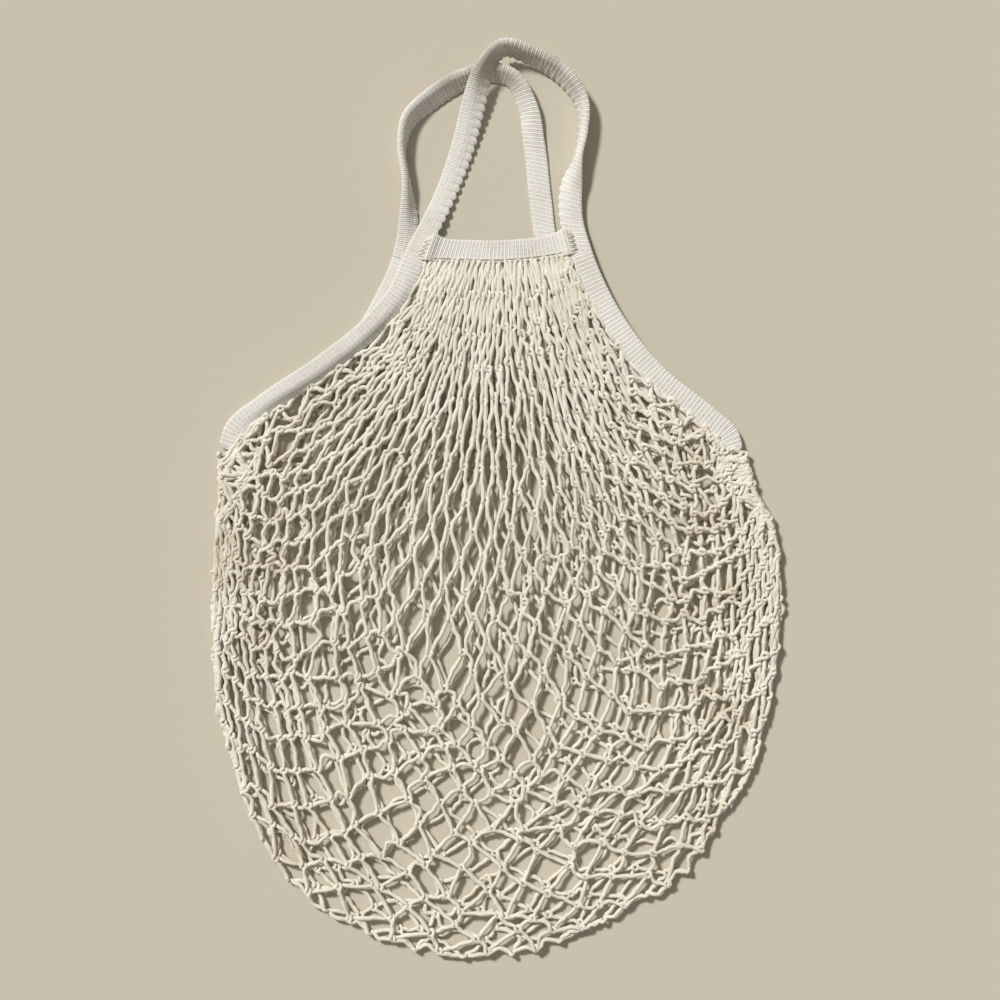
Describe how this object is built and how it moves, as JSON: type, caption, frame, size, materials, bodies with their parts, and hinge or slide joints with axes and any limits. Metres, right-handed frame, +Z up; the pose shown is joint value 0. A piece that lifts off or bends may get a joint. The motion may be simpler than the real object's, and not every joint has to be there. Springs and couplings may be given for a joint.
{
  "type": "knitted string mesh bag",
  "caption": "Empty knitted net shopping bag lying flat, with taped top edges and two looped shoulder-length tape handles that cross over each other.",
  "frame": {"origin": "middle of the bag's box, on the surface that it lies on", "axes": "+Y along the bag from its bottom towards its handles, +Z up from the surface, +X to the bag's right as seen from above"},
  "size_m": [0.3878, 0.623, 0.0213],
  "materials": {
    "net_cotton": "matt undyed cotton cord, knitted net",
    "tape_cotton": "matt undyed cotton, cross-ribbed knitted tape"
  },
  "bodies": {
    "root": {"net_pouch": "net_cotton", "heading_front": "tape_cotton", "heading_back": "tape_cotton", "handle_front": "tape_cotton", "handle_back": "tape_cotton", "binding_left": "tape_cotton", "binding_right": "tape_cotton"}
  },
  "joints": []
}
